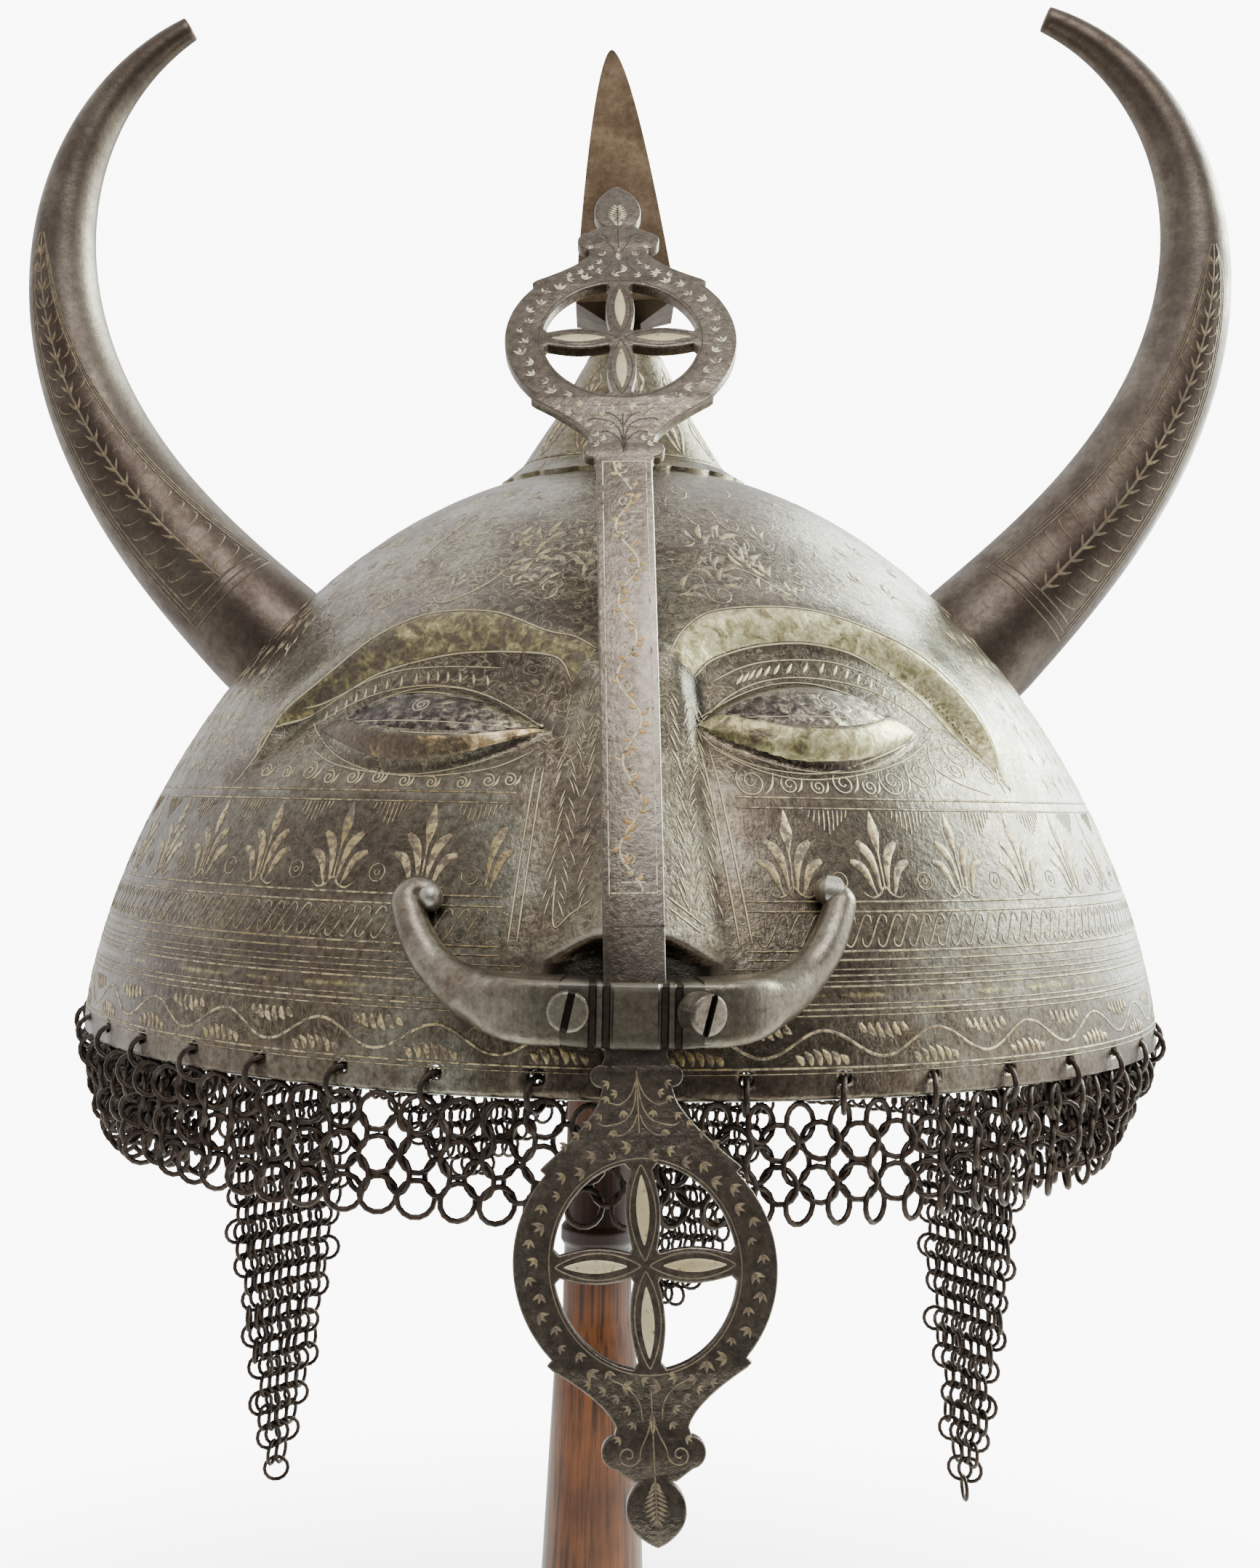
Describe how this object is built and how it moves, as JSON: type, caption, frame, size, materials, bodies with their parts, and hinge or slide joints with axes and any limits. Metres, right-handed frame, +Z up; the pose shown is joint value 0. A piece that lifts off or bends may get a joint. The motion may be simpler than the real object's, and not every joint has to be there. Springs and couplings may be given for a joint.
{
  "type": "horned parade helmet on a wooden display stand",
  "caption": "Domed steel parade helmet with an embossed face, curved horns, a spike, a sliding nasal guard and a mail curtain, held up on a turned wooden stand.",
  "frame": {"origin": "centre of the underside of the stand's foot, which is the floor", "axes": "+Z up along the stand's post, the face looks along -Y, +X towards the right of someone who faces it"},
  "size_m": [0.2392, 0.2278, 0.3848],
  "materials": {
    "bowl_steel": "aged grey-brown steel, chiselled and worn, with gilt inlay",
    "horn_steel": "aged dark steel with faint chiselled panels",
    "spike_base_steel": "aged steel with a greenish cast and gilt inlay",
    "spike_steel": "brown patinated steel",
    "nasal_steel": "aged grey-brown steel, engraved, with gilt inlay",
    "bracket_steel": "smooth worn dark steel",
    "screw_steel": "bright worn steel",
    "mail_wire": "dark oxidised iron wire",
    "stand_wood": "varnished reddish brown, straight grain"
  },
  "bodies": {
    "helmet": {"bowl": "bowl_steel", "horn_left": "horn_steel", "horn_right": "horn_steel", "spike_base": "spike_base_steel", "spike": "spike_steel", "moustache_bracket": "bracket_steel", "screw_left": "screw_steel", "screw_right": "screw_steel", "mail_curtain": "mail_wire", "stand_post": "stand_wood", "stand_foot": "stand_wood"},
    "nasal": {"nasal": "nasal_steel"}
  },
  "joints": [
    {"name": "nasal_slide", "type": "hinge", "parent": "helmet", "child": "nasal", "pos_m": [0.00557, 0.11217, 0.15478], "axis": [0.9995, 0, 0.0323], "range_deg": [0, 22]}
  ]
}
